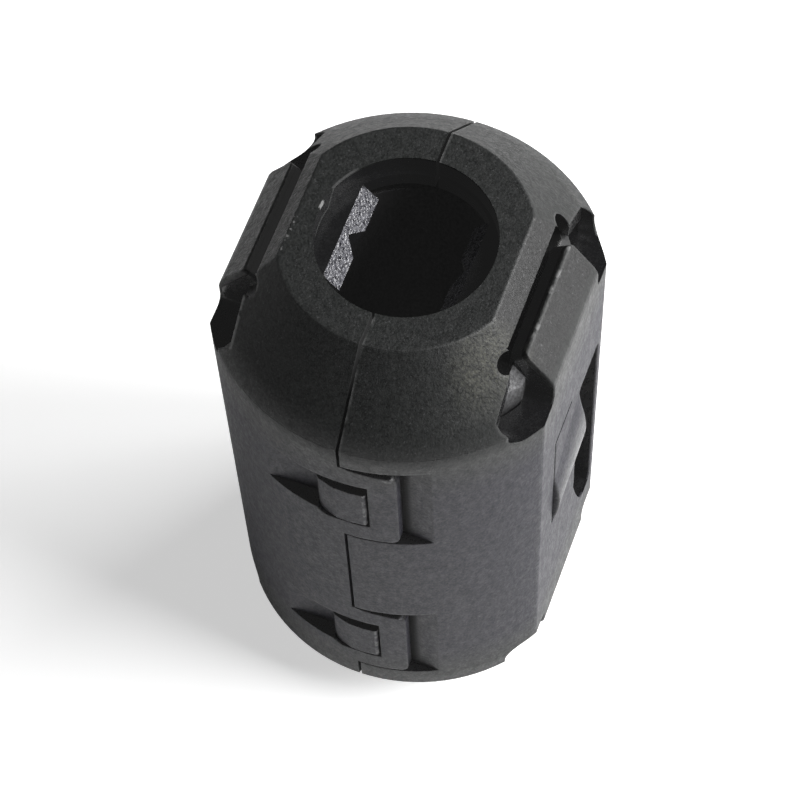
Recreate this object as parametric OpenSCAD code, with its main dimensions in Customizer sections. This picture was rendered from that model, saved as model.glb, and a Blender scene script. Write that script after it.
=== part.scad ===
// Clip-on ferrite bead: two moulded half shells that fold round a cable,
// each holding half of a ferrite core. Origin at the bottom centre, +Z along the cable.

/* [Body] */
// Overall length along the cable
body_l = 36; // [34:0.5:42]
// Diameter over the rounded sides
body_d = 20; // [19.6:0.2:23]
// Width across the two flat sides
flat_w = 17.5; // [17.1:0.1:18.3]
// Length of the sloped part at each end
slope_l = 4.2; // [3.8:0.1:5]
// Diameter of the round outline of the end faces
end_d = 12.6; // [12:0.1:13.4]
// Width of the end faces across the flats
end_w = 11; // [10.6:0.1:11.8]
// Wall thickness on the rounded sides
wall_t = 1.65; // [1.45:0.05:1.8]
// Thickness of the sloped walls at the ends
slope_t = 0.75; // [0.7:0.05:0.9]
// Thickness of the walls under the flat sides
flat_t = 1.5; // [1.3:0.05:1.6]
// Thickness of the end walls
end_t = 2; // [1.8:0.05:2.4]
// Gap between the rims of the closed halves
split_gap = 0.16; // [0.1:0.02:0.24]

/* [Cable passage] */
// Diameter of the round cable entry
entry_d = 9; // [8.4:0.1:9.6]
// Depth of the round wall of the entry
entry_depth = 1.15; // [0.9:0.05:1.3]
// Diameter of the throat below the round wall
throat_d = 8.6; // [8:0.1:8.7]
// Distance from the axis to the edge of the inner ledge
ledge_x = 3.3; // [3:0.1:3.6]
// Distance from the axis to the tip of the grip lip
lip_x = 2.5; // [2:0.1:2.8]
// Depth of the grip lip's tip below the end face
lip_depth = 2.1; // [1.9:0.05:2.4]
// Width of each grip lip
lip_w = 5.5; // [4:0.1:6]
// Width of the notch in the grip lip
notch_w = 1.75; // [1:0.05:2.5]

/* [Ferrite core] */
// Length of the core
core_l = 29.7; // [28:0.1:29.8]
// Bore diameter of the core
core_bore_d = 9.5; // [9:0.1:11]
// Radial play between the core and the round walls
core_play = 0.15; // [0.1:0.01:0.2]
// Gap between the meeting faces of the two core halves
core_gap = 0.04; // [0.02:0.01:0.1]

/* [End tongues] */
// Width of the spring tongue on each sloped flat
tongue_w = 6.7; // [6:0.1:7]
// Height of the tongue above the slope
tongue_rise = 0.25; // [0.15:0.05:0.35]
// Length of the tongue up the slope
tongue_l = 2.8; // [2.4:0.1:3]
// Width of the slot above the tongue
slot_t = 1.05; // [0.8:0.05:1.2]
// Length of the slot above the tongue
slot_l = 9.3; // [8.8:0.1:9.5]
// Radius of the round notch at each end of the slot
notch_r = 0.58; // [0.45:0.01:0.6]
// Corner radius of the tongue
tongue_r = 0.35; // [0.2:0.05:0.5]
// Reach of the hook cut-outs to each side of the middle
hook_y = 6.62; // [6.4:0.02:6.8]
// Distance from the bore axis to the floor of the hook cut-outs
hook_x = 6.8; // [6.6:0.05:7]
// Depth of the hook cut-outs below the shoulder
hook_drop = 1.2; // [0.9:0.05:1.4]

/* [Side springs] */
// Height of the side window's lower edge
window_z0 = 7.8; // [7:0.2:9]
// Height of the side window's upper edge
window_z1 = 23.6; // [22.5:0.1:24]
// Hinge-side edge of the side window
window_y = 4.4; // [4.1:0.05:4.5]
// Hinge-side edge of the spring leaf
leaf_y1 = 1.1; // [0.6:0.1:1.6]
// Latch-side edge of the spring leaf
leaf_y0 = -2.65; // [-3:0.05:-2.2]
// Width of the narrow slit round the leaf's free corner
slit_t = 0.2; // [0.15:0.01:0.3]
// Height where the narrow slit ends
slit_z0 = 15.8; // [15:0.1:17]
// Height of the outward bow in the leaf
bow_h = 0.5; // [0.3:0.05:0.6]
// Length of the outward bow
bow_l = 8; // [6:0.2:9]
// Height of the bow's crest at the leaf's hinge-side edge
bow_z = 20.1; // [19.4:0.1:20.6]
// Angle by which the bow's crest drops towards the free corner
crest_a = 27; // [20:1:32]
// Angle by which the bow fades towards the free corner
fade_a = 2.6; // [0:0.2:3.4]

/* [Latches] */
// Distance of each latch from the middle of the length
latch_z = 8.35; // [7.8:0.05:8.6]
// Height of the latch loop along the cable
loop_h = 7.5; // [7:0.1:7.9]
// Reach of the loop past the split
loop_reach = 2.78; // [2.6:0.02:3]
// Slant of the loop's upper edge over its reach
loop_slant = 0.4; // [0:0.05:0.5]
// Corner radius of the loop
loop_r = 0.5; // [0.2:0.05:0.8]
// Thickness of the loop at the split
loop_t = 0.94; // [0.8:0.02:1]
// Clearance between the loop and its pocket
latch_gap = 0.08; // [0.05:0.01:0.12]
// Height of the opening in the loop
eye_h = 4.3; // [4:0.1:4.6]
// Reach of the lug past the split, on its catch side
lug_x1 = 1.2; // [1.1:0.05:1.3]
// Reach of the lug past the split, on its lead-in side
lug_x0 = 1.45; // [1.3:0.05:1.6]
// Height of the lug along the cable
lug_h = 3.3; // [3:0.1:3.5]
// Play between the lug's catch face and the loop's bar
catch_gap = 0.15; // [0.1:0.01:0.2]
// Drop of the lug's lead-in edge below the surface
lug_drop = 0.3; // [0.2:0.02:0.4]
// Corner radius of the lug's lead-in edge
lug_r = 0.6; // [0.3:0.05:0.8]
// Rise of the lead-in pocket's sill above the foot of the loop's opening
sill_rise = 0.45; // [0.2:0.05:0.6]

/* [Living hinge] */
// Thickness of the hinge web
web_t = 0.4; // [0.3:0.02:0.5]
// Width of the hinge web across the split
web_w = 1.2; // [0.8:0.1:1.6]
// Length of the hinge web
web_l = 27; // [20:0.5:27.4]

/* [Hidden] */
$fn = 96;
eps = 0.02;
far = 30;
R = body_d / 2;
FX = flat_w / 2;
HL = body_l / 2;
SZ = HL - slope_l;
RE = end_d / 2;
EX = end_w / 2;
// inside of the shell
CR = R - wall_t;
CX = FX - flat_t;
// rounded slope: drop per radius, and the drop of its inner face
cone_k = slope_l / (R - RE);
cone_in = slope_t * sqrt(1 + cone_k * cone_k);
CZ = HL - end_t;
// sloped flat: angle, and unit steps up the slope and out of it
slope_a = atan2(FX - EX, slope_l);
up = [-sin(slope_a), cos(slope_a)];
out = [cos(slope_a), sin(slope_a)];
// pocket under the loop, and the pocket beside it that takes the lug
pocket_y = R - loop_t - latch_gap;
eye_x1 = lug_x1 + catch_gap;
// where the lead-in pocket starts on the surface, and where it drops behind the lug
lead_x = sqrt(R * R - pocket_y * pocket_y);
step_x = lug_x0 + latch_gap;
// where the corner between flat and rounded side lies, and the plane that takes it off
corner_a = acos(FX / R) / 2;
corner_x = R * cos(corner_a) - 0.06;
corner_ex = EX / cos(2 * corner_a) * cos(corner_a) - 0.05;

plastic = [0.13, 0.13, 0.135];
ferrite = [0.2, 0.2, 0.21];

// A point on the sloped flat: s up the slope from the shoulder, h out of it
function on_slope(s, h) = [FX, SZ] + s * up + h * out;

// Height of the bow's outside above the flat, t from -1 to 1 along it
function bow(t) = bow_h * (1 + cos(180 * t)) / 2;

// Prism along Y that leaves the flats, with shoulders at fz and ends at hz
module flats(fx, ex, fz, hz)
  rotate([90, 0, 0])
    linear_extrude(2 * far, center = true)
      polygon([
        [-ex, -hz], [ex, -hz], [fx, -fz], [fx, fz],
        [ex, hz], [-ex, hz], [-fx, fz], [-fx, -fz],
      ]);

// Turned body with shoulders at sz, cut by two flats with shoulders at fz
module barrel(r, fx, re, ex, sz, fz, hz)
  intersection() {
    rotate_extrude()
      polygon([[0, -hz], [re, -hz], [r, -sz], [r, sz], [re, hz], [0, hz]]);
    flats(fx, ex, fz, hz);
  }

// A flat shape drawn in X and Z, w wide along Y and centred on y
module across(w, y = 0)
  translate([0, y + w / 2, 0])
    rotate([90, 0, 0])
      linear_extrude(w)
        children();

// A flat shape drawn in Y and Z, pushed out from x0 towards +X
module outward(x0, depth)
  translate([x0, 0, 0])
    rotate([90, 0, 90])
      linear_extrude(depth)
        children();

module both_ends()
  for (m = [0, 1])
    mirror([0, 0, m])
      children();

// Outside of the closed clip, with the corners beside the flats taken off
module outside()
  intersection() {
    barrel(R, FX, RE, EX, SZ, SZ, HL);
    for (a = [-corner_a, corner_a])
      rotate([0, 0, a])
        flats(corner_x, corner_ex, SZ, HL);
  }

module cavity() {
  re_in = RE + (HL - cone_in - CZ) / cone_k;
  sz_in = HL - cone_in - (CR - RE) * cone_k;
  slope_in = FX - (slope_t + 0.05) / cos(slope_a);
  fz_in = SZ + (slope_in - CX) / tan(slope_a);
  ex_in = slope_in - (CZ - SZ) * tan(slope_a);
  barrel(CR, CX, re_in, ex_in, sz_in, fz_in, CZ);
}

// Round wall of the cable entry, open through the end wall between the ledges
module entry() {
  translate([0, 0, HL - entry_depth])
    cylinder(d = entry_d, h = entry_depth + 1);
  intersection() {
    translate([0, 0, CZ - 1])
      cylinder(d = throat_d, h = end_t);
    translate([-ledge_x, -far, 0])
      cube([2 * ledge_x, 2 * far, far]);
  }
}

// Grip lip that leans down and inwards from the ledge, with a notch in its middle
module grip_lip() {
  top = HL - entry_depth;
  tip = HL - lip_depth;
  difference() {
    across(lip_w)
      polygon([
        [ledge_x + 1, top], [ledge_x, top], [lip_x, tip],
        [lip_x + 0.35, tip - 0.42], [ledge_x + 1, CZ],
      ]);
    translate([0, 0, CZ - 2])
      linear_extrude(far)
        polygon([[lip_x - 0.1, -notch_w / 2 - 0.1], [lip_x + 0.55, 0], [lip_x - 0.1, notch_w / 2 + 0.1]]);
  }
}

// Places a flat shape on the slope, up along +Y and across along +X, and cuts it through
module through_slope(depth)
  translate([FX, 0, SZ])
    rotate([0, 90 - slope_a, 0])
      rotate([0, 0, 90])
        translate([0, 0, -depth])
          linear_extrude(depth + 3)
            children();

// Slot above the tongue, cut square to the slope, with a round notch at each end
module tongue_slot() {
  run = slot_l - 4 * notch_r + 0.3;
  through_slope(4)
    translate([-run / 2, tongue_l])
      square([run, slot_t]);
  through_slope(4)
    for (s = [-1, 1])
      translate([s * (slot_l / 2 - notch_r), tongue_l + slot_t - notch_r + 0.03])
        circle(notch_r);
}

// Joins each notch to the cut-out below it, and rounds the tongue's free corners
module tongue_corners() {
  y0 = tongue_w / 2;
  for (s = [0, 1])
    mirror([0, s, 0]) {
      through_slope(1.6)
        translate([y0, 1.5])
          square([slot_l / 2 - 0.25 - y0, tongue_l - 1.25]);
      through_slope(1.6)
        difference() {
          translate([y0 - tongue_r, tongue_l - tongue_r])
            square(tongue_r + 0.1);
          translate([y0 - tongue_r, tongue_l - tongue_r])
            circle(tongue_r);
        }
    }
}

// Cut-outs on both sides of the tongue, run through the corner of the flat
module hook_cuts() {
  z0 = SZ - hook_drop;
  y0 = tongue_w / 2;
  r0 = 0.55;
  r1 = 0.9;
  for (s = [0, 1])
    mirror([0, s, 0])
      outward(hook_x, far) {
        translate([y0 + r0, z0 + r0])
          circle(r0);
        translate([hook_y - r1, z0 + r1])
          circle(r1);
        polygon([
          [y0 + r0, z0], [hook_y - r1, z0], [hook_y - r1, z0 + r1], [hook_y, z0 + r1],
          [hook_y, z0 + r1 + 0.6], [hook_y - 0.3, z0 + r1 + 1.3], [hook_y - 1, HL + 1],
          [y0, HL + 1], [y0, z0 + r0], [y0 + r0, z0 + r0],
        ]);
      }
}

// Thins the wall behind the cut-outs down to the thickness of the slopes
module hook_reliefs() {
  r = R - 0.8;
  z = HL - cone_in - 0.06 - (r - RE) * cone_k;
  foot = SZ - hook_drop;
  intersection() {
    rotate_extrude()
      polygon([[0, foot], [r, foot], [r, z], [RE + 1, z + (r - RE - 1) * cone_k], [0, z]]);
    for (s = [0, 1])
      mirror([0, s, 0])
        translate([hook_x - 1, tongue_w / 2, foot])
          cube([1 + eps, hook_y - 0.4 - tongue_w / 2, 3]);
  }
}

// Raised pad of the tongue: carries the flat up past the shoulder, then follows the slope
module tongue_pad() {
  lift = tongue_rise / cos(90 - slope_a);
  across(tongue_w)
    polygon([
      [FX - 1, SZ - 0.6], [FX, SZ - 0.6], [FX, SZ + lift - 0.35],
      [FX - 0.06, SZ + lift - 0.05], on_slope(0.75, tongue_rise),
      on_slope(tongue_l - 0.12, tongue_rise), on_slope(tongue_l, tongue_rise - 0.1),
      on_slope(tongue_l, -0.6),
    ]);
}

// Openings that free the spring leaf in the flat
module leaf_cuts() {
  r = 0.5;
  w = window_y - leaf_y1;
  top = window_z1 - HL;
  foot = window_z0 - HL;
  slit_top = top + 1.4;
  outward(CX - 0.5, 4) {
    polygon([
      [leaf_y1, top - r], [leaf_y1, foot + 4.8], [leaf_y1 + 0.12 * w, foot + 3.4],
      [leaf_y1 + 0.24 * w, foot + 2.3], [leaf_y1 + 0.38 * w, foot + 1.1],
      [leaf_y1 + 0.5 * w, foot + 0.35], [leaf_y1 + 0.66 * w, foot],
      [leaf_y1 + 0.92 * w, foot], [window_y, foot + 0.4],
      [window_y, top - r], [window_y - r, top], [leaf_y1 + r, top],
    ]);
    for (y = [leaf_y1 + r, window_y - r])
      translate([y, top - r])
        circle(r);
    translate([leaf_y0 - slit_t, slit_z0 - HL])
      square([slit_t, slit_top + HL - slit_z0]);
    translate([leaf_y0 - slit_t, slit_top - slit_t])
      square([2.7, slit_t]);
  }
}

// The leaf bows outwards by the same amount on both faces; its crest drops and
// fades towards the free corner
module leaf_bow(skin)
  intersection() {
    translate([skin - 1, leaf_y0, -far])
      cube([3, leaf_y1 - leaf_y0, 2 * far]);
    translate([skin, leaf_y1, bow_z - HL])
      rotate([crest_a, 0, -fade_a])
        across(16)
          polygon([
            for (i = [-8:8])
              [bow(i / 8), i / 8 * bow_l * cos(crest_a) / 2],
            [-0.3, bow_l / 2],
            [-0.3, -bow_l / 2],
          ]);
  }

module end_details() {
  both_ends() {
    tongue_slot();
    tongue_corners();
    hook_cuts();
    hook_reliefs();
  }
}

// Half shell on +X, without the latches
module plain_half() {
  difference() {
    union() {
      difference() {
        outside();
        cavity();
        both_ends()
          entry();
      }
      both_ends()
        tongue_pad();
      leaf_bow(FX);
      both_ends()
        grip_lip();
    }
    end_details();
    leaf_cuts();
    leaf_bow(CX);
    translate([split_gap / 2 - far, -far, -far])
      cube([far, 2 * far, 2 * far]);
    // clears the inside of the hinge web
    translate([-far, CR - 1, -web_l / 2])
      cube([far + web_w / 2, R - web_t - CR + 1, web_l]);
  }
  intersection() {
    cylinder(r = R, h = web_l, center = true);
    translate([0, R - web_t, -far])
      cube([web_w / 2 + eps, web_t, 2 * far]);
  }
}

// Outline of the loop seen from the front; its upper edge slants down along its reach
module loop_outline() {
  r = loop_r;
  x1 = loop_reach;
  z1 = loop_h / 2;
  z2 = z1 - loop_slant;
  translate([x1 - r, z2 - r])
    circle(r);
  translate([x1 - r, r - z1])
    circle(r);
  polygon([
    [-0.8, -z1], [x1 - r, -z1], [x1 - r, r - z1], [x1, r - z1],
    [x1, z2 - r], [x1 - r, z2 - r], [x1 - r, z2], [0, z1], [-0.8, z1],
  ]);
}

// Everything in front of a plane that lies y out from the axis
module front_of(y)
  translate([-far, -far, -far])
    cube([2 * far, far - y, 2 * far]);

module loop()
  intersection() {
    cylinder(r = R, h = loop_h + 2, center = true);
    across(4 * R)
      loop_outline();
    front_of(R - loop_t);
  }

// Opening through the loop; beside the lug a flat lead-in pocket runs out to the surface
module loop_eye() {
  foot = -eye_h / 2 - latch_gap;
  head = eye_h / 2 - latch_gap;
  r = lug_r + latch_gap;
  intersection() {
    front_of(pocket_y - 2 * latch_gap);
    across(4 * R) {
      translate([r - step_x, foot + r])
        circle(r);
      translate([-step_x, foot + r])
        square([step_x + eye_x1, head - foot - r]);
      translate([r - step_x, foot])
        square([step_x + eye_x1 - r, head - foot]);
    }
  }
  translate([-lead_x - 0.5, -far, foot + sill_rise])
    cube([lead_x + 0.5, far - pocket_y, head - foot - sill_rise]);
}

// Pocket that takes the loop; open at its far side, where the floor meets the surface
module loop_pocket()
  intersection() {
    front_of(pocket_y);
    across(4 * R)
      polygon([
        [-1, -loop_h / 2 - latch_gap], [far, -loop_h / 2 - latch_gap],
        [far, loop_h / 2 + 0.3], [6, loop_h / 2 + 0.3], [0, loop_h / 2 + latch_gap],
        [-1, loop_h / 2 + latch_gap],
      ]);
  }

// Ramp-backed lug: low at its lead-in edge, flush with the surface at its catch face
module lug() {
  foot = -eye_h / 2;
  intersection() {
    translate([0, 0, foot])
      linear_extrude(lug_h)
        polygon([
          [-lug_x0, -pocket_y + latch_gap], [-lug_x0, -R + lug_drop + 0.12],
          [-lug_x0 + 0.12, -R + lug_drop], [-0.4, -R + 0.03], [0.3, -R],
          [lug_x1 - 0.1, -R + 0.07], [lug_x1, -R + 0.16], [lug_x1, -CR - 0.2],
          [split_gap / 2, -CR - 0.2], [split_gap / 2, -pocket_y + latch_gap],
        ]);
    across(4 * R) {
      translate([lug_r - lug_x0, foot + lug_r])
        circle(lug_r);
      translate([-lug_x0, foot + lug_r])
        square([lug_x0 + lug_x1, lug_h]);
      translate([lug_r - lug_x0, foot])
        square([lug_x0 + lug_x1 - lug_r, lug_h]);
    }
  }
}

module at_latches()
  for (z = [-latch_z, latch_z])
    translate([0, 0, z])
      children();

module shell_left() color(plastic)
  translate([0, 0, HL])
    difference() {
      union() {
        mirror([1, 0, 0])
          plain_half();
        at_latches()
          loop();
      }
      at_latches()
        loop_eye();
    }

module shell_right() color(plastic)
  translate([0, 0, HL]) {
    difference() {
      plain_half();
      at_latches()
        loop_pocket();
    }
    at_latches()
      lug();
  }

// Half core on +X, its flat side against the inside of the shell's flat
module core_half() {
  c = 0.45;
  r = CR - core_play;
  h = core_l / 2;
  difference() {
    barrel(r, CX, r - c, CX - 0.85 * tan(slope_a), h - c, h - 0.85, h);
    cylinder(d = core_bore_d, h = 2 * far, center = true);
    translate([core_gap / 2 - far, -far, -far])
      cube([far, 2 * far, 2 * far]);
  }
}

module core_left() color(ferrite)
  translate([0, 0, HL])
    mirror([1, 0, 0])
      core_half();

module core_right() color(ferrite)
  translate([0, 0, HL])
    core_half();

shell_left();
shell_right();
core_left();
core_right();
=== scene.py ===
"""Looks of a clip-on ferrite bead: two black moulded half shells, each with half of a ferrite core.

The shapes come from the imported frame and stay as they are. This script gives them materials and
adds the floor, lamps, world and camera. Blender's objects are in metres; the masks that say where
a finish lies count in millimetres, from the clip's split, middle or cable axis.
"""
import math
from functools import cached_property

import bpy
from mathutils import Matrix, Vector


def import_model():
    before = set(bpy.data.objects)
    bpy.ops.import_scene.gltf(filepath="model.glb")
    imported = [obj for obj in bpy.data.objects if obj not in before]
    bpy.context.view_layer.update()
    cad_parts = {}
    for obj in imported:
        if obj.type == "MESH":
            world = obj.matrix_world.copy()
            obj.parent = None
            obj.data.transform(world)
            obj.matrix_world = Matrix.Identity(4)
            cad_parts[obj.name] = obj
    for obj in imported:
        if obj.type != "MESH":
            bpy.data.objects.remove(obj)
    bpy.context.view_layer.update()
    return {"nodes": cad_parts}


# the clip's own sizes in mm, repeated from the part's source
HALF_L = 18.0      # half length: the level of the end faces
SLOPE_L = 4.2      # length of the slopes at each end
BODY_R = 10.0      # radius of the barrel
FLAT_X = 8.75      # half width over the flats
END_R = 6.3        # radius of the turned slope at the end face
END_X = 5.5        # half width of the end face
ENTRY_R = 4.5      # radius of the cable entry

# level at which the slopes start, and tilt of the outward normals of the turned slope and sloped flat
SHOULDER = HALF_L - SLOPE_L
CONE = math.atan2(BODY_R - END_R, SLOPE_L)
RAMP = math.atan2(FLAT_X - END_X, SLOPE_L)

# bounds of finishes and points that small marks lie on, in mm; a point gives its x or reach first,
# then its level, y or z
LIP_R = 4.2        # radius inside which only the grip lips reach
WALL_FOOT = 16.86  # level just above the ledge that the entry's wall stands on
TONGUE_EDGE = (7.23, 16.17)
TONGUE_TIP = (7.3, 16.1)
LOOP_CORNER = (2.32, 29.68)
TOUCHED_CORNER = (6.5, -5.0)
NICK = (4.49, 0.38)
HOOK_CORNER = (-6.79, -6.6)
POCKET_FLOOR_Y = -8.98

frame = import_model()


def add(tree, kind, **settings):
    """A new node with its settings."""
    node = tree.nodes.new(kind)
    for key, value in settings.items():
        setattr(node, key, value)
    return node


def feed(tree, value, socket):
    """Links a field to a socket, or sets a constant on it."""
    if isinstance(value, Field):
        tree.links.new(value.socket, socket)
    else:
        socket.default_value = value


class Field:
    """A value that changes over the surface. Python's operators on it make math nodes."""

    def __init__(self, tree, socket):
        self.tree, self.socket = tree, socket

    def calculate(self, operation, *values):
        node = add(self.tree, "ShaderNodeMath", operation=operation)
        for value, socket in zip(values, node.inputs):
            feed(self.tree, value, socket)
        return Field(self.tree, node.outputs[0])

    def __add__(self, other):
        return self.calculate("ADD", self, other)

    def __sub__(self, other):
        return self.calculate("SUBTRACT", self, other)

    def __rsub__(self, other):
        return self.calculate("SUBTRACT", other, self)

    def __mul__(self, other):
        return self.calculate("MULTIPLY", self, other)

    def __truediv__(self, other):
        return self.calculate("DIVIDE", self, other)

    def __abs__(self):
        return self.calculate("ABSOLUTE", self)

    def sign(self):
        return self.calculate("SIGN", self)

    def clamped(self):
        """Keeps the result of the last operation between 0 and 1."""
        self.socket.node.use_clamp = True
        return self

    def fade(self, start, full, low=0.0, high=1.0):
        """low up to start, high from full on, and a straight ramp between them."""
        node = add(self.tree, "ShaderNodeMapRange")
        feed(self.tree, self, node.inputs["Value"])
        for label, value in (("From Min", start), ("From Max", full), ("To Min", low), ("To Max", high)):
            node.inputs[label].default_value = value
        return Field(self.tree, node.outputs["Result"])

    def between(self, start, rise, fall, end):
        """1 from rise to fall, 0 before start and past end."""
        return self.fade(start, rise) * self.fade(end, fall)

    def close_to(self, centre, outer, inner):
        """1 within inner of the centre, 0 beyond outer."""
        return abs(self - centre).fade(outer, inner)


def highest(first, *others):
    for other in others:
        first = first.calculate("MAXIMUM", first, other)
    return first


def hypotenuse(a, b):
    total = a * a + b * b
    return total.calculate("SQRT", total)


def spot(a, b, centre, size):
    """1 within half of size around a point of two fields, 0 beyond size."""
    return hypotenuse(a - centre[0], b - centre[1]).fade(size, size * 0.5)


def noise(point, scale, detail, roughness):
    """Noise of about scale grains to the metre."""
    node = add(point.tree, "ShaderNodeTexNoise")
    feed(point.tree, point, node.inputs["Vector"])
    for label, value in (("Scale", scale), ("Detail", detail), ("Roughness", roughness)):
        node.inputs[label].default_value = value
    return Field(point.tree, node.outputs["Fac"])


class Place:
    """Where a point of the surface lies, in mm, and which way its face looks."""

    def __init__(self, tree):
        self.tree = tree
        self.coords = add(tree, "ShaderNodeTexCoord")
        self.point = Field(tree, self.coords.outputs["Object"])

    def split(self, label):
        node = add(self.tree, "ShaderNodeSeparateXYZ")
        feed(self.tree, Field(self.tree, self.coords.outputs[label]), node.inputs[0])
        return [Field(self.tree, socket) for socket in node.outputs]

    @cached_property
    def xyz(self):
        return [length * 1000 for length in self.split("Object")]

    @cached_property
    def along(self):
        """Height above the clip's middle."""
        return self.xyz[2] - HALF_L

    @cached_property
    def level(self):
        """Distance from the clip's middle towards either end."""
        return abs(self.along)

    @cached_property
    def side(self):
        """Distance from the split."""
        return abs(self.xyz[0])

    @cached_property
    def reach(self):
        """Distance from the cable's axis."""
        return hypotenuse(self.xyz[0], self.xyz[1])

    @cached_property
    def facing(self):
        return self.split("Normal")

    @cached_property
    def sideways(self):
        """1 on a face that looks to a side, 0 on one square to that."""
        return abs(self.facing[0])

    @cached_property
    def endways(self):
        """1 on a face that looks to an end, 0 on one along the cable."""
        return abs(self.facing[2])

    @cached_property
    def height(self):
        """Height above the clip's plain outside: below zero in cut-outs, slots and bore."""
        rise = self.level - SHOULDER
        cone = rise * math.sin(CONE) + (self.reach - BODY_R) * math.cos(CONE)
        ramp = rise * math.sin(RAMP) + (self.side - FLAT_X) * math.cos(RAMP)
        return highest(self.level - HALF_L, self.reach - BODY_R, self.side - FLAT_X, cone, ramp)


def new_group(name, given, masks):
    """An empty node group, its inputs as fields, and a function that feeds its outputs."""
    group = bpy.data.node_groups.new(name, "ShaderNodeTree")
    for way, labels in (("INPUT", given), ("OUTPUT", masks)):
        for label in labels:
            kind = "NodeSocketVector" if label == "Normal" else "NodeSocketFloat"
            group.interface.new_socket(name=label, in_out=way, socket_type=kind)
    for label, value in given.items():
        if value is not None:
            group.interface.items_tree[label].default_value = value
    source, drain = add(group, "NodeGroupInput"), add(group, "NodeGroupOutput")

    def put_out(**values):
        for label, value in values.items():
            feed(group, value, drain.inputs[label])

    return group, {label: Field(group, source.outputs[label]) for label in given}, put_out


def moulded_surface():
    """Fine moulded grain: a height for the bump, light and dark grains, bright specks, slow patches."""
    group, _, put_out = new_group("moulded_surface", {}, ("Height", "Grains", "Specks", "Patches"))
    drawn = add(group, "ShaderNodeVectorMath", operation="MULTIPLY")
    feed(group, Place(group).point, drawn.inputs[0])
    drawn.inputs[1].default_value = (1, 1, 0.6)  # grains stretched a little along the cable
    point = Field(group, drawn.outputs[0])
    fine, coarse = noise(point, 8000, 1.0, 0.6), noise(point, 2700, 2.0, 0.6)
    put_out(
        Height=fine * 0.45 + coarse * 0.55,
        Grains=noise(point, 7000, 2.0, 0.8).fade(0.36, 0.64),
        Specks=noise(point, 9000, 1.0, 0.5).fade(0.66, 0.76),
        Patches=noise(point, 260, 3.0, 0.6))
    return group


def rim_wear():
    """Softened edge normal, left sharp where Keen is 1, and a mask of worn sharp edges, which the material
    paints as a highlight.
    Radius is in metres, as the bevel node takes it."""
    group, given, put_out = new_group("rim_wear", {"Radius": 0.00015, "Keen": 0.0}, ("Normal", "Rim"))
    soft = add(group, "ShaderNodeBevel", samples=6)
    feed(group, given["Radius"], soft.inputs["Radius"])
    soft_normal = Field(group, soft.outputs[0])
    true_normal = Field(group, add(group, "ShaderNodeNewGeometry").outputs["Normal"])
    dot = add(group, "ShaderNodeVectorMath", operation="DOT_PRODUCT")
    feed(group, soft_normal, dot.inputs[0])
    feed(group, true_normal, dot.inputs[1])
    mixed = add(group, "ShaderNodeMix", data_type="VECTOR")
    for value, socket in ((given["Keen"], 0), (soft_normal, 4), (true_normal, 5)):
        feed(group, value, mixed.inputs[socket])
    edge = Field(group, dot.outputs["Value"]).fade(0.97, 0.85)
    broken = noise(Place(group).point, 2200, 2.0, 0.6).fade(0.42, 0.62, 0.2, 1.0)
    put_out(Normal=Field(group, mixed.outputs[1]), Rim=edge * broken * (1.0 - given["Keen"]))
    return group


def rounded_shoulder():
    """Tilts a normal along the cable so that the turned shoulder looks rounded. Width is in mm."""
    group, given, put_out = new_group("rounded_shoulder", {"Normal": None, "Width": 1.0}, ("Normal",))
    place = Place(group)
    past = place.level - SHOULDER
    share = (1.0 - abs(past) / given["Width"]).clamped()
    turned = place.reach.fade(8.7, 9.0) * place.side.fade(8.2, 7.6)
    tilt = share * turned * (past.sign() * -0.36) * place.along.sign()
    up = add(group, "ShaderNodeCombineXYZ")
    feed(group, tilt, up.inputs[2])
    turn = add(group, "ShaderNodeVectorTransform", vector_type="VECTOR",
               convert_from="OBJECT", convert_to="WORLD")
    feed(group, Field(group, up.outputs[0]), turn.inputs[0])
    total = add(group, "ShaderNodeVectorMath", operation="ADD")
    feed(group, given["Normal"], total.inputs[0])
    feed(group, Field(group, turn.outputs[0]), total.inputs[1])
    unit = add(group, "ShaderNodeVectorMath", operation="NORMALIZE")
    feed(group, Field(group, total.outputs[0]), unit.inputs[0])
    put_out(Normal=Field(group, unit.outputs[0]))
    return group


def entry_marks(place, ledges):
    """Painted glints: a thin line of burrs that climbs the entry's left wall to its rim, and a nicked spot
    beside it.
    """
    x, y, _ = place.xyz
    far_left = x.fade(-3.0, -3.4)
    climb = y.fade(0.9, 1.45, WALL_FOOT, HALF_L)
    burr = spot(place.reach, place.level - climb, (ENTRY_R, 0.0), 0.13) * far_left
    burr = burr * y.close_to(1.0, 1.9, 1.6) * (1.0 - ledges)
    nick = place.reach.close_to(NICK[0], 0.1, 0.07) * y.close_to(NICK[1], 0.28, 0.16)
    return burr, nick * far_left * place.level.fade(17.72, 17.8)


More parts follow.
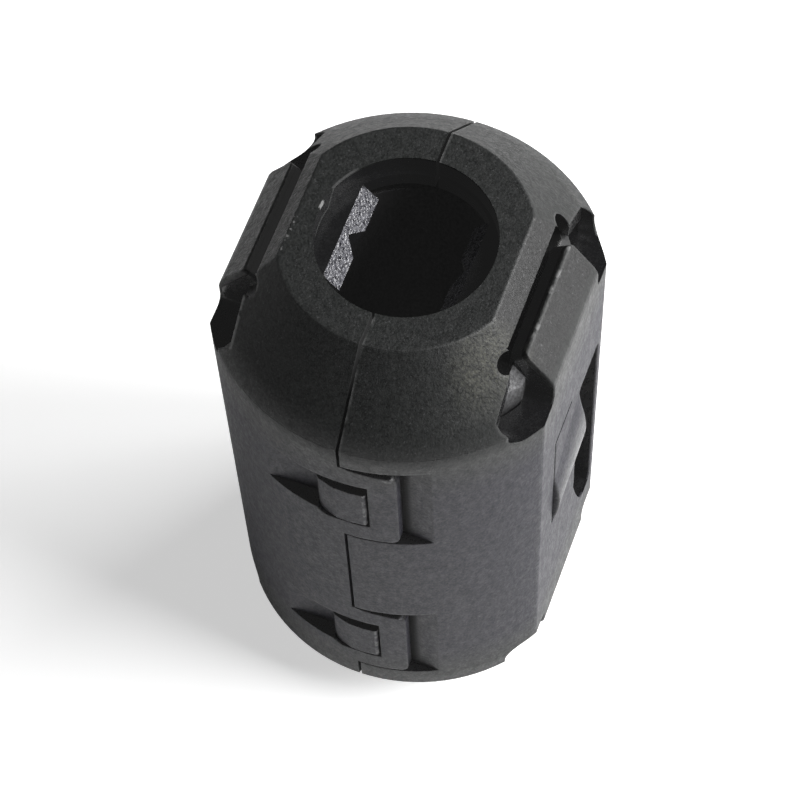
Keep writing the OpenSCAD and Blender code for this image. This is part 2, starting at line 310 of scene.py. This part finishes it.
def mould_burrs(place):
    """Burrs and edges painted as light glints: right edge of the split, free edge of each right tongue,
    left edge of the end faces, edge of the left hook cut-outs, catch edge of each lug and corner of the upper
    loop."""
    x, y, z = place.xyz
    level = place.level
    broken = noise(place.point, 1800, 2.0, 0.6)
    dots = noise(place.point, 5200, 1.0, 0.5)
    proud = place.height.fade(-0.12, -0.04)
    split = x.between(0.04, 0.07, 0.13, 0.22) * level.fade(12.0, 13.5) * proud
    tongue = spot(x, level, TONGUE_EDGE, 0.22) * broken.fade(0.54, 0.62)
    end_edge = spot(x, level, (-END_X, HALF_L), 0.2) * dots.fade(0.55, 0.62) * y.close_to(-1.6, 1.4, 1.0)
    hook = highest(x - HOOK_CORNER[0], HOOK_CORNER[1] - y).close_to(0.0, 0.18, 0.08) * proud
    hook = hook * y.fade(-4.2, -4.6) * x.fade(-6.2, -6.4) * level.fade(13.9, 14.2)
    lug = x.between(1.0, 1.07, 1.22, 1.3) * y.fade(-9.7, -9.8) * level.between(6.2, 6.3, 10.4, 10.5)
    loop = spot(x, z, LOOP_CORNER, 0.4) * y.fade(-9.2, -9.4)
    return highest(
        split * broken.fade(0.38, 0.6) * 0.2, tongue * 0.35, end_edge * 0.5,
        hook * broken.fade(0.35, 0.5), highest(lug, loop) * broken.fade(0.42, 0.56) * 0.6)


def clip_places():
    """Masks by place on the clip.

    Its outputs, in order: smooth faces in cut-outs and bore, given painted shade; the ripped grip lips;
    burrs and edges painted as light glints; a painted glare on one corner; edges that stay keen; the
    flats, smoother and with a painted sheen, most of all the bowed leaves; the tongues and the strips
    beside them; the barrel, between the slopes; faces with painted shade and no shine; faces with a painted
    glow.
    """
    group, _, put_out = new_group("clip_places", {}, (
        "Hidden", "Lips", "Burr", "Touched", "Split", "Worn", "Ramp", "Barrel", "Dull", "Faint"))
    place = Place(group)
    x, y, _ = place.xyz
    side, level, reach = place.side, place.level, place.reach

    square = place.endways.fade(0.8, 0.95)
    inner = level.fade(HALF_L - 0.03, HALF_L - 0.1)
    ledges = square * inner * (1.0 - spot(side, level, TONGUE_TIP, 0.3))
    bore = reach.fade(LIP_R + 0.02, LIP_R - 0.05) * inner * (1.0 - ledges)
    notch = bore * place.endways.fade(0.35, 0.2)
    lips = bore - notch
    deep = place.height.fade(-0.08, -0.14)
    off_latches = highest(side, y + 10.5).fade(5.0, 5.4)
    entry_burr, nick = entry_marks(place, ledges)
    # painted shade: ledges, notches and faces deep in cut-outs and bore, where shade falls, are made smooth
    # and darker
    hidden = highest(ledges, notch, deep * off_latches) * (1.0 - highest(entry_burr, nick))

    # painted shade: the inner wall of the left slots, and the pocket floor beside the end of each loop, where
    # a shadow falls
    away = place.facing[0] * math.sin(RAMP) + place.endways * math.cos(RAMP)
    slot_wall = away.fade(0.8, 0.9) * x.fade(-6.4, -6.6) * level.fade(15.2, 15.6)
    pocket_floor = y.close_to(POCKET_FLOOR_Y, 0.04, 0.02) * x.between(2.6, 2.68, 2.9, 3.8)
    pocket_floor = pocket_floor * level.between(4.4, 4.7, 11.9, 12.2)
    # painted glow in the front split near each end, standing in for a thin film of flash catching light
    film = side.fade(0.11, 0.09) * y.fade(-4.0, -4.3) * level.fade(15.6, 17.5) * place.sideways.fade(0.8, 0.9)

    ramp_square = place.sideways * math.cos(RAMP) + place.endways * math.sin(RAMP)
    # smoother flats and bowed leaves, with a painted sheen: the flats a little lighter, the leaves most
    flat = side.fade(8.6, 8.7) * 0.3
    leaf = side.fade(8.8, 9.18) * level.fade(11.5, 10.5)
    put_out(
        Hidden=(hidden - lips).clamped(),
        Lips=lips,
        Burr=highest(mould_burrs(place), entry_burr * y.fade(0.4, 1.4, 0.1, 0.22), nick),
        # painted glare: a yellowish highlight around the front right corner near each end
        Touched=spot(x, y, TOUCHED_CORNER, 2.7) * (1.0 - square) * level.fade(14.5, 16.5),
        Split=highest(side.fade(0.45, 0.3), reach.fade(5.05, 4.9)),
        Worn=highest(flat, leaf),
        Ramp=ramp_square.fade(0.985, 0.997),
        Barrel=level.fade(12.5, 9.5),
        Dull=highest(slot_wall, pocket_floor),
        Faint=highest(film, slot_wall * 0.5))
    return group


def core_places():
    """Masks by place on the core: its ground end faces, and a painted highlight at its front corners."""
    group, _, put_out = new_group("core_places", {}, ("Ground", "Chalky"))
    place = Place(group)
    front = place.xyz[1].fade(-2.4, -3.2)
    put_out(
        Ground=place.endways.fade(0.85, 0.95),
        Chalky=place.level.fade(12.2, 14.3) * front * place.side.fade(6.2, 6.8))
    return group


GRAIN = moulded_surface()
RIM = rim_wear()
CLIP_PLACES = clip_places()
CORE_PLACES = core_places()
SHOULDER_ROUND = rounded_shoulder()


def use(tree, group, **values):
    """Places a group in a material, feeds its named inputs and gives its outputs as fields."""
    node = add(tree, "ShaderNodeGroup")
    node.node_tree = group
    for label, value in values.items():
        feed(tree, value, node.inputs[label])
    return {socket.name: Field(tree, socket) for socket in node.outputs}


def grey(value):
    return (value, value, value)


def mix(cover, under, over):
    """The colour under, with the colour over on top where cover is 1."""
    node = add(cover.tree, "ShaderNodeMix", data_type="RGBA")
    feed(cover.tree, cover, node.inputs[0])
    for colour, socket in ((under, 6), (over, 7)):
        feed(cover.tree, colour if isinstance(colour, Field) else (*colour, 1), node.inputs[socket])
    return Field(cover.tree, node.outputs[2])


def new_material(name):
    material = bpy.data.materials.new(name)
    material.use_nodes = True
    return material, material.node_tree, material.node_tree.nodes["Principled BSDF"]


def finish_surface(tree, bsdf, base, rough, veil, height, normal, strength, depth):
    """Feeds a surface's colour, roughness, painted glow that lifts its blacks, and bump; depth is in metres.
    """
    feed(tree, base, bsdf.inputs["Base Color"])
    feed(tree, rough, bsdf.inputs["Roughness"])
    feed(tree, veil, bsdf.inputs["Emission Color"])
    bsdf.inputs["Emission Strength"].default_value = 1.0
    bump = add(tree, "ShaderNodeBump")
    bump.inputs["Strength"].default_value = strength
    bump.inputs["Distance"].default_value = depth
    feed(tree, height, bump.inputs["Height"])
    feed(tree, normal, bump.inputs["Normal"])
    feed(tree, Field(tree, bump.outputs[0]), bsdf.inputs["Normal"])


def black_moulded_plastic():
    """Black moulding: grey ends, a slightly violet barrel, ripped lips with painted sparkle, painted shade on
    smooth faces in cut-outs and bore.
    """
    material, tree, bsdf = new_material("black_moulded_plastic")
    grain = use(tree, GRAIN)
    grains = grain["Grains"]
    places = use(tree, CLIP_PLACES)
    hidden, lips, ramp = places["Hidden"], places["Lips"], places["Ramp"]
    barrel, worn, dull = places["Barrel"], places["Worn"], places["Dull"]
    rim = use(tree, RIM, Radius=0.00022, Keen=(hidden + lips + places["Split"]).clamped())

    dark = mix(barrel, (0.0015, 0.002, 0.0018), (0.005, 0.0046, 0.0115))
    light = mix(barrel, (0.011, 0.0125, 0.0118), (0.0137, 0.0129, 0.0235))
    base = mix(grains, mix(ramp, dark, grey(0.0)), mix(ramp, light, grey(0.016)))
    # ripped lips: lighter torn plastic, with painted sparkle in the light grains
    torn = mix(grains, (0.006, 0.006, 0.009), (0.12, 0.12, 0.132))
    for cover, colour in (
            (grain["Patches"] * 0.3, grey(0.012)),
            ((ramp * 0.5 + 0.5) * grain["Specks"], (0.06, 0.06, 0.063)),
            # painted glare, yellowish
            (places["Touched"] * grains.fade(0.2, 1.0, 0.1, 1.0), (0.05, 0.05, 0.04)),
            # painted highlight along worn sharp edges
            (rim["Rim"] * 0.5, grey(0.07)),
            # painted glints on burrs, edges and a nick
            (places["Burr"], grey(0.22)),
            # painted shade: cut-outs and bore darker
            (hidden, (0.0025, 0.0025, 0.003)),
            # painted shade: near black, with no shine
            (dull, grey(0.001)),
            (lips, torn),
            # painted sheen on the flats and bowed leaves
            (worn.fade(0.3, 1.0), (0.055, 0.055, 0.058))):
        base = mix(cover, base, colour)

    rough = grain["Height"].fade(0.35, 0.65, 0.41, 0.61)
    rough = rough - highest(hidden, lips) * 0.24 + barrel * 0.05 - worn * 0.25
    # painted glow: a faint emission that lifts the blacks, a little more in the light grains
    veil = mix(grains, grey(0.003), grey(0.005))
    # painted glow, stronger in the shaded cut-outs and bore
    veil = mix(hidden, veil, grey(0.009))
    # painted glow in the front split film and on the left slot walls
    veil = mix(places["Faint"], veil, grey(0.03))
    height = grain["Height"] * (lips * 3.0 + 1.0 + ramp * 1.3 - hidden * 0.8)
    shoulder = use(tree, SHOULDER_ROUND, Width=1.1, Normal=rim["Normal"])
    finish_surface(tree, bsdf, base, highest(rough, dull), veil, height, shoulder["Normal"], 0.6, 0.00006)
    return material


def sintered_ferrite():
    """Grey-black sintered ferrite with darker, smoother ground ends and a painted highlight on its front
    corners.
    """
    material, tree, bsdf = new_material("sintered_ferrite")
    grain = use(tree, GRAIN)
    rim = use(tree, RIM, Radius=0.00025)
    places = use(tree, CORE_PLACES)
    base = mix(grain["Patches"], (0.008, 0.008, 0.0085), (0.018, 0.018, 0.0185))
    # painted highlight: the front corners lighter and smoother, as if lit
    chalk = mix(grain["Grains"], (0.045, 0.045, 0.046), (0.16, 0.16, 0.165))
    base = mix(places["Chalky"], base, chalk)
    base = mix(places["Ground"], base, grey(0.004))
    rough = 0.56 - places["Chalky"] * 0.2 - places["Ground"] * 0.3
    # painted glow: a faint emission that lifts the ferrite's blacks
    veil = mix(grain["Grains"], grey(0.005), grey(0.0075))
    finish_surface(tree, bsdf, base, rough, veil, grain["Height"], rim["Normal"], 0.4, 0.00004)
    return material


def paint_parts():
    shell, core = black_moulded_plastic(), sintered_ferrite()
    for name, node in frame["nodes"].items():
        node.data.materials.clear()
        node.data.materials.append(core if name.startswith("core") else shell)


def camera():
    """Camera high above the front, a little to the right and slightly rolled."""
    azimuth, elevation, roll = (math.radians(angle) for angle in (23.114, 61.765, -3.447))
    distance, target = 0.208458, Vector((-0.012458, 0.027244, -0.036323))
    frame_px, focal_px, sensor_mm = 800, 2719.743, 36
    back = Vector((math.sin(azimuth) * math.cos(elevation), -math.cos(azimuth) * math.cos(elevation),
                   math.sin(elevation)))
    right = (-back).cross(Vector((0, 0, 1))).normalized()
    up = right.cross(-back)
    across = right * math.cos(roll) + up * math.sin(roll)
    upward = up * math.cos(roll) - right * math.sin(roll)
    data = bpy.data.cameras.new("camera")
    data.lens = focal_px / frame_px * sensor_mm
    data.sensor_width = sensor_mm
    data.clip_start = 0.01
    cam = bpy.data.objects.new("camera", data)
    bpy.context.collection.objects.link(cam)
    pose = Matrix((across, upward, back)).transposed().to_4x4()
    pose.translation = target + back * distance
    cam.matrix_world = pose
    bpy.context.scene.camera = cam


def panel(name, place, aim_height, size, watts):
    """A square soft lamp that looks at the clip's axis."""
    data = bpy.data.lights.new(name, "AREA")
    data.shape = "SQUARE"
    data.size = size
    data.energy = watts
    lamp = bpy.data.objects.new(name, data)
    bpy.context.collection.objects.link(lamp)
    lamp.location = place
    aim = Vector((0, 0, aim_height)) - Vector(place)
    lamp.rotation_euler = aim.to_track_quat("-Z", "Y").to_euler()


def floor():
    """Pale floor that shows white where it is lit and keeps the clip's shadow."""
    bpy.ops.mesh.primitive_plane_add(size=3, location=(0, 0, 0))
    slab = bpy.context.object
    slab.name = "floor"
    material, tree, bsdf = new_material("floor")
    bsdf.inputs["Base Color"].default_value = (0.8, 0.8, 0.8, 1)
    bsdf.inputs["Roughness"].default_value = 0.9
    bsdf.inputs["Specular IOR Level"].default_value = 0.1
    bsdf.inputs["Emission Color"].default_value = (1, 1, 1, 1)
    ray = add(tree, "ShaderNodeLightPath")
    seen = Field(tree, ray.outputs["Is Camera Ray"]) * 0.55
    mirrored = Field(tree, ray.outputs["Is Glossy Ray"]) * 0.08
    feed(tree, seen + mirrored, bsdf.inputs["Emission Strength"])
    slab.data.materials.append(material)


def world():
    """Weak soft light, a little stronger near the horizon, and a white ground to the camera."""
    studio = bpy.data.worlds.new("world")
    bpy.context.scene.world = studio
    studio.use_nodes = True
    tree = studio.node_tree
    soft = tree.nodes["Background"]
    soft.inputs["Color"].default_value = (1, 1, 1, 1)
    direction = add(tree, "ShaderNodeSeparateXYZ")
    feed(tree, Field(tree, add(tree, "ShaderNodeTexCoord").outputs["Generated"]), direction.inputs[0])
    feed(tree, Field(tree, direction.outputs["Z"]).fade(0.0, 0.6, 0.04, 0.01), soft.inputs["Strength"])
    white = add(tree, "ShaderNodeBackground")
    white.inputs["Color"].default_value = (1, 1, 1, 1)
    white.inputs["Strength"].default_value = 1.0
    seen = add(tree, "ShaderNodeLightPath").outputs["Is Camera Ray"]
    either = add(tree, "ShaderNodeMixShader")
    for source, socket in zip((seen, soft.outputs[0], white.outputs[0]), either.inputs):
        feed(tree, Field(tree, source), socket)
    feed(tree, Field(tree, either.outputs[0]), tree.nodes["World Output"].inputs[0])


paint_parts()
camera()
floor()
world()
panel("key_right", (0.229, 0.02, 0.213), 0.02, 0.13, 1.28)
panel("key_right_back", (0.163, 0.163, 0.213), 0.02, 0.13, 0.6)
panel("low_right", (0.229, 0.132, 0.16), 0.03, 0.05, 0.12)
panel("fill_left", (-0.245, -0.03, 0.18), 0.02, 0.13, 0.035)
bpy.context.scene.view_settings.view_transform = "Standard"
